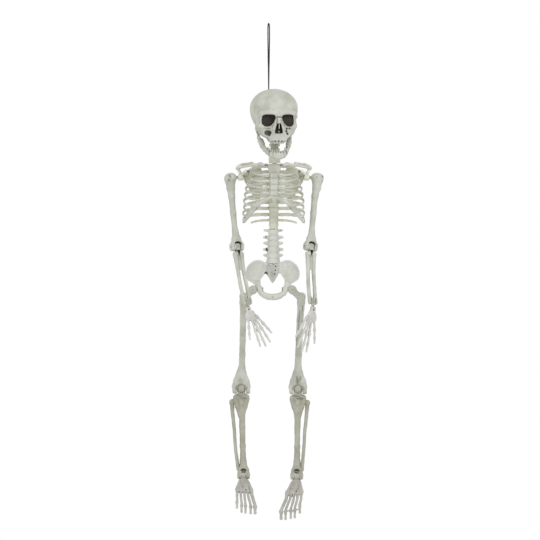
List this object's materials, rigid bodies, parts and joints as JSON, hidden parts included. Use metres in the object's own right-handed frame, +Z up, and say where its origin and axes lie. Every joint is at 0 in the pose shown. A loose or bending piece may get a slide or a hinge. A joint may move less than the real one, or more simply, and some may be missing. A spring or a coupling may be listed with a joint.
{
  "type": "hanging skeleton figure",
  "caption": "Jointed skeleton figure hung by a cord loop from the crown: open jaw, caged ribs, and limbs on pegs and hinge pins.",
  "frame": {"origin": "inside of the top bend of the hanging loop, where a hook bears", "axes": "+Z up, the figure faces -Y, +X to the figure's left"},
  "size_m": [0.207, 0.1577, 1.0357],
  "materials": {
    "bone": "ivory plastic with a dark wash in the hollows",
    "peg": "darker stained plastic",
    "pin": "dull plated steel",
    "cord": "braided black cord"
  },
  "bodies": {
    "skull": {"skull_front": "bone", "skull_back": "bone", "jaw_pins": "pin", "hanging_cord": "cord", "cord_knot": "cord"},
    "jaw": {"jaw": "bone"},
    "neck": {"neck": "bone"},
    "chest": {"rib_cage_front": "bone", "rib_cage_back": "bone", "collar_bone_right": "bone", "collar_bone_left": "bone", "shoulder_blade_right": "bone", "shoulder_blade_left": "bone", "waist_pin": "pin", "neck_pin": "pin"},
    "pelvis": {"lumbar_spine": "bone", "pelvis": "bone"},
    "shoulder_peg_right": {"shoulder_peg_right": "peg"},
    "upper_arm_right": {"humerus_right": "bone", "shoulder_pin_right": "pin", "elbow_pin_right": "pin"},
    "forearm_right": {"forearm_right": "bone"},
    "wrist_peg_right": {"wrist_peg_right": "peg"},
    "hand_right": {"hand_right": "bone", "wrist_pin_right": "pin"},
    "hip_peg_right": {"hip_peg_right": "peg"},
    "thigh_right": {"femur_right": "bone", "hip_pin_right": "pin", "knee_pin_right": "pin"},
    "shin_right": {"shin_right": "bone", "ankle_pin_right": "pin"},
    "foot_right": {"foot_right": "bone"},
    "shoulder_peg_left": {"shoulder_peg_left": "peg"},
    "upper_arm_left": {"humerus_left": "bone", "shoulder_pin_left": "pin", "elbow_pin_left": "pin"},
    "forearm_left": {"forearm_left": "bone"},
    "wrist_peg_left": {"wrist_peg_left": "peg"},
    "hand_left": {"hand_left": "bone", "wrist_pin_left": "pin"},
    "hip_peg_left": {"hip_peg_left": "peg"},
    "thigh_left": {"femur_left": "bone", "hip_pin_left": "pin", "knee_pin_left": "pin"},
    "shin_left": {"shin_left": "bone", "ankle_pin_left": "pin"},
    "foot_left": {"foot_left": "bone"}
  },
  "joints": [
    {"name": "jaw_hinge", "type": "hinge", "parent": "skull", "child": "jaw", "pos_m": [0.0116, -0.014, -0.2265], "axis": [0.9877, 0.1564, 0], "range_deg": [-16, 0]},
    {"name": "neck_turn", "type": "hinge", "parent": "skull", "child": "neck", "pos_m": [0.012, 0.006, -0.2285], "axis": [0, 0, 1], "range_deg": [-70, 70]},
    {"name": "neck_nod", "type": "hinge", "parent": "neck", "child": "chest", "pos_m": [0.012, 0.006, -0.301], "axis": [1, 0, 0], "range_deg": [-4, 12]},
    {"name": "waist_turn", "type": "hinge", "parent": "chest", "child": "pelvis", "pos_m": [0.0095, 0.012, -0.4265], "axis": [0, 0, 1], "range_deg": [-45, 45]},
    {"name": "shoulder_swing_right", "type": "hinge", "parent": "chest", "child": "shoulder_peg_right", "pos_m": [-0.079, -0.004, -0.319], "axis": [-1, 0, 0], "range_deg": [-5, 150]},
    {"name": "shoulder_lift_right", "type": "hinge", "parent": "shoulder_peg_right", "child": "upper_arm_right", "pos_m": [-0.079, -0.004, -0.319], "axis": [0, 1, 0], "range_deg": [-3, 100]},
    {"name": "elbow_right", "type": "hinge", "parent": "upper_arm_right", "child": "forearm_right", "pos_m": [-0.06615, -0.02022, -0.46302], "axis": [0.8826, 0.4694, 0.0259], "range_deg": [-85, 11]},
    {"name": "wrist_twist_right", "type": "hinge", "parent": "forearm_right", "child": "wrist_peg_right", "pos_m": [-0.04155, -0.05936, -0.59198], "axis": [0.1796, -0.2857, -0.9413], "range_deg": [-80, 80]},
    {"name": "wrist_bend_right", "type": "hinge", "parent": "wrist_peg_right", "child": "hand_right", "pos_m": [-0.04155, -0.05936, -0.59198], "axis": [0.9837, 0.0521, 0.1718], "range_deg": [-40, 40]},
    {"name": "hip_swing_right", "type": "hinge", "parent": "pelvis", "child": "hip_peg_right", "pos_m": [-0.033, -0.004, -0.553], "axis": [-1, 0, 0], "range_deg": [-15, 30]},
    {"name": "hip_lift_right", "type": "hinge", "parent": "hip_peg_right", "child": "thigh_right", "pos_m": [-0.033, -0.004, -0.553], "axis": [0, 1, 0], "range_deg": [-2, 30]},
    {"name": "knee_right", "type": "hinge", "parent": "thigh_right", "child": "shin_right", "pos_m": [-0.05703, -0.00616, -0.75758], "axis": [1, 0, 0], "range_deg": [0, 100]},
    {"name": "ankle_right", "type": "hinge", "parent": "shin_right", "child": "foot_right", "pos_m": [-0.05227, -0.00298, -0.93949], "axis": [-1, 0, 0], "range_deg": [-5, 50]},
    {"name": "shoulder_swing_left", "type": "hinge", "parent": "chest", "child": "shoulder_peg_left", "pos_m": [0.1, -0.004, -0.319], "axis": [-1, 0, 0], "range_deg": [-5, 150]},
    {"name": "shoulder_lift_left", "type": "hinge", "parent": "shoulder_peg_left", "child": "upper_arm_left", "pos_m": [0.1, -0.004, -0.319], "axis": [0, -1, 0], "range_deg": [-3, 100]},
    {"name": "elbow_left", "type": "hinge", "parent": "upper_arm_left", "child": "forearm_left", "pos_m": [0.0869, -0.02022, -0.463], "axis": [0.8949, 0.4271, -0.1295], "range_deg": [-85, 15]},
    {"name": "wrist_twist_left", "type": "hinge", "parent": "forearm_left", "child": "wrist_peg_left", "pos_m": [0.09159, -0.06887, -0.59098], "axis": [0.0343, -0.3551, -0.9342], "range_deg": [-80, 80]},
    {"name": "wrist_bend_left", "type": "hinge", "parent": "wrist_peg_left", "child": "hand_left", "pos_m": [0.09159, -0.06887, -0.59098], "axis": [0.8382, 0.5193, -0.1667], "range_deg": [-40, 40]},
    {"name": "hip_swing_left", "type": "hinge", "parent": "pelvis", "child": "hip_peg_left", "pos_m": [0.049, -0.004, -0.553], "axis": [-1, 0, 0], "range_deg": [-15, 30]},
    {"name": "hip_lift_left", "type": "hinge", "parent": "hip_peg_left", "child": "thigh_left", "pos_m": [0.049, -0.004, -0.553], "axis": [0, -1, 0], "range_deg": [-2, 30]},
    {"name": "knee_left", "type": "hinge", "parent": "thigh_left", "child": "shin_left", "pos_m": [0.06086, -0.00616, -0.75865], "axis": [1, 0, 0], "range_deg": [0, 100]},
    {"name": "ankle_left", "type": "hinge", "parent": "shin_left", "child": "foot_left", "pos_m": [0.05832, -0.00298, -0.9406], "axis": [-1, 0, 0], "range_deg": [-5, 50]}
  ]
}
